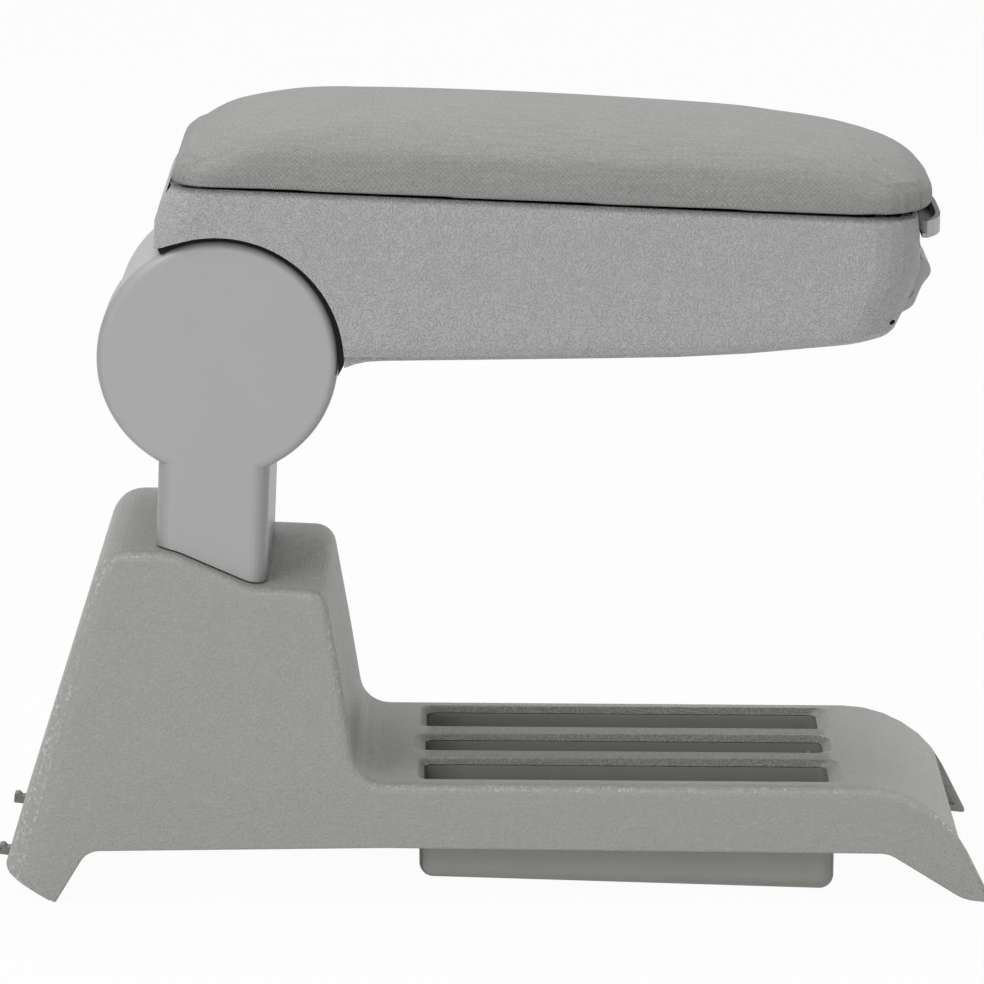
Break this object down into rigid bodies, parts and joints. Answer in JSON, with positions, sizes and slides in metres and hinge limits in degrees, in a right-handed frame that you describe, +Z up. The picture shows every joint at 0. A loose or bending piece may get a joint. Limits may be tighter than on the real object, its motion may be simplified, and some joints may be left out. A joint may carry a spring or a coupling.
{
  "type": "car centre armrest",
  "caption": "Padded car centre armrest with a lidded storage box on a tilting arm, carried by a column on a console base with open slots.",
  "frame": {"origin": "middle of the object's footprint, on the plane that the base's front and rear tips rest on", "axes": "+X towards the nose of the armrest, +Y across the car to the side without the round cover, +Z up"},
  "size_m": [0.4143, 0.1298, 0.3291],
  "materials": {
    "base_plastic": "fine moulded grain",
    "casing_plastic": "fine moulded grain",
    "column_plastic": "satin",
    "box_plastic": "smooth matte",
    "clip_plastic": "smooth matte",
    "lip_plastic": "smooth matte",
    "black_plastic": "matte",
    "liner_plastic": "matte",
    "lid_fabric": "fine woven cloth over foam",
    "felt": "felt",
    "rubber": "matte",
    "nylon": "natural nylon",
    "steel_plate": "zinc plated plate",
    "bright_steel": "bright drawn",
    "sintered_steel": "dull grey",
    "spring_wire": "spring wire",
    "zinc_screw": "dull zinc"
  },
  "bodies": {
    "base": {"console_base": "base_plastic", "slot_box": "box_plastic", "rear_clips": "clip_plastic", "post_frame": "steel_plate", "base_screws": "zinc_screw", "post_cover": "column_plastic", "post_shell": "column_plastic", "shell_screws": "zinc_screw", "pivot_shaft": "bright_steel", "shaft_nut": "zinc_screw", "ratchet_wheel": "sintered_steel"},
    "arm": {"arm_casing": "casing_plastic", "arm_frame": "steel_plate", "frame_screws": "zinc_screw", "pivot_bushes": "nylon", "slot_shutter": "black_plastic", "storage_box": "liner_plastic", "box_mat": "felt", "lid_bumpers": "rubber", "lid_hinge_pin": "bright_steel", "lever_pin": "bright_steel", "lever_spring": "spring_wire", "pawl_pin": "bright_steel", "pawl_spring": "spring_wire", "latch_pin": "bright_steel", "latch_spring": "spring_wire"},
    "lid": {"lid_tray": "black_plastic", "lid_pad": "lid_fabric", "lid_striker": "steel_plate", "striker_screws": "zinc_screw"},
    "latch": {"lid_latch": "lip_plastic"},
    "lever": {"release_lever": "lip_plastic"},
    "rod": {"pull_rod": "steel_plate"},
    "pawl": {"pawl": "sintered_steel"}
  },
  "joints": [
    {"name": "arm_tilt", "type": "hinge", "parent": "base", "child": "arm", "pos_m": [-0.112, 0, 0.228], "axis": [0, -1, 0], "range_deg": [0, 90]},
    {"name": "lid_open", "type": "hinge", "parent": "arm", "child": "lid", "pos_m": [-0.1282, 0, 0.29921], "axis": [0, -1, 0], "range_deg": [0, 75]},
    {"name": "latch_press", "type": "hinge", "parent": "arm", "child": "latch", "pos_m": [0.167, 0, 0.277], "axis": [0, 1, 0], "range_deg": [0, 10], "stiffness_Nm_per_rad": 0.3, "springref_deg": -11.46},
    {"name": "release_pull", "type": "hinge", "parent": "arm", "child": "lever", "pos_m": [0.162, 0, 0.245], "axis": [0, 1, 0], "range_deg": [0, 18.4], "stiffness_Nm_per_rad": 0.4, "springref_deg": -11.46},
    {"name": "rod_slide", "type": "slide", "parent": "arm", "child": "rod", "axis": [1, 0, 0], "range_m": [0, 0.00298]},
    {"name": "pawl_lift", "type": "hinge", "parent": "arm", "child": "pawl", "pos_m": [-0.078, 0, 0.236], "axis": [0, 1, 0], "range_deg": [0, 20.5]}
  ],
  "couplings": [
    {"joint": "release_pull", "follows": "rod_slide", "rad_per_m": 105.26},
    {"joint": "pawl_lift", "follows": "rod_slide", "rad_per_m": 117.65}
  ]
}
